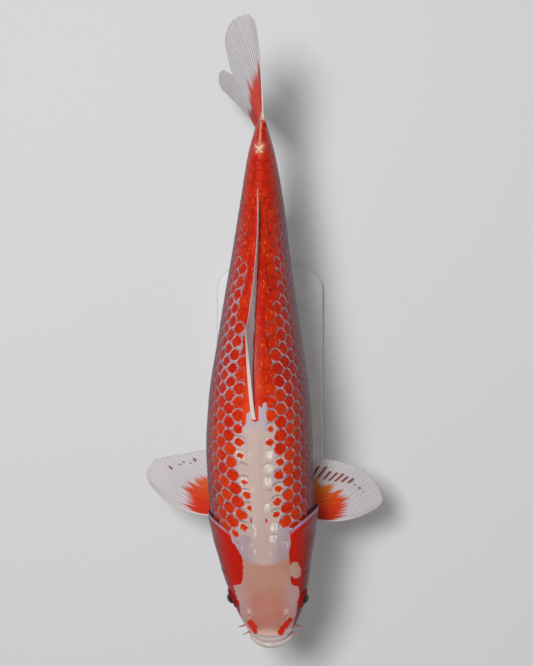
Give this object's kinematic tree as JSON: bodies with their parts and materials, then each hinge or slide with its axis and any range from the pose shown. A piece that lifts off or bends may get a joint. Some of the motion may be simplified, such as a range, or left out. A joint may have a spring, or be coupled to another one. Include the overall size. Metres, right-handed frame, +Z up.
{
  "type": "koi carp",
  "caption": "Life-size still model of a swimming koi carp, held over a flat base by two short rods.",
  "frame": {"origin": "centre of the underside of the display stand's base", "axes": "+Z up; the fish's head points to -Y and its tail to +Y; +X is the fish's left side"},
  "size_m": [0.2341, 0.5867, 0.2699],
  "materials": {
    "koi_skin": "wet satin scales, red over white",
    "koi_barbels": "soft satin skin",
    "koi_eyes": "glossy dark eye",
    "koi_fins": "thin pale ray fins",
    "stand_paint": "pale grey satin paint",
    "stand_steel": "brushed",
    "stand_pad": "grey resting pad"
  },
  "bodies": {
    "root": {"head": "koi_skin", "gill_cover_left": "koi_skin", "gill_cover_right": "koi_skin", "trunk": "koi_skin", "tail_stem": "koi_skin", "upper_lip": "koi_skin", "lower_lip": "koi_skin", "upper_barbel_left": "koi_barbels", "upper_barbel_right": "koi_barbels", "lower_barbel_left": "koi_barbels", "lower_barbel_right": "koi_barbels", "eye_left": "koi_eyes", "eye_right": "koi_eyes", "dorsal_fin": "koi_fins", "anal_fin": "koi_fins", "pectoral_fin_left": "koi_fins", "pectoral_fin_right": "koi_fins", "pelvic_fin_left": "koi_fins", "pelvic_fin_right": "koi_fins", "tail_fin_upper_lobe": "koi_fins", "tail_fin_lower_lobe": "koi_fins", "stand_base": "stand_paint", "stand_collar_front": "stand_steel", "stand_collar_rear": "stand_steel", "stand_rod_front": "stand_steel", "stand_rod_rear": "stand_steel", "stand_cup_front": "stand_pad", "stand_cup_rear": "stand_pad"}
  },
  "joints": []
}
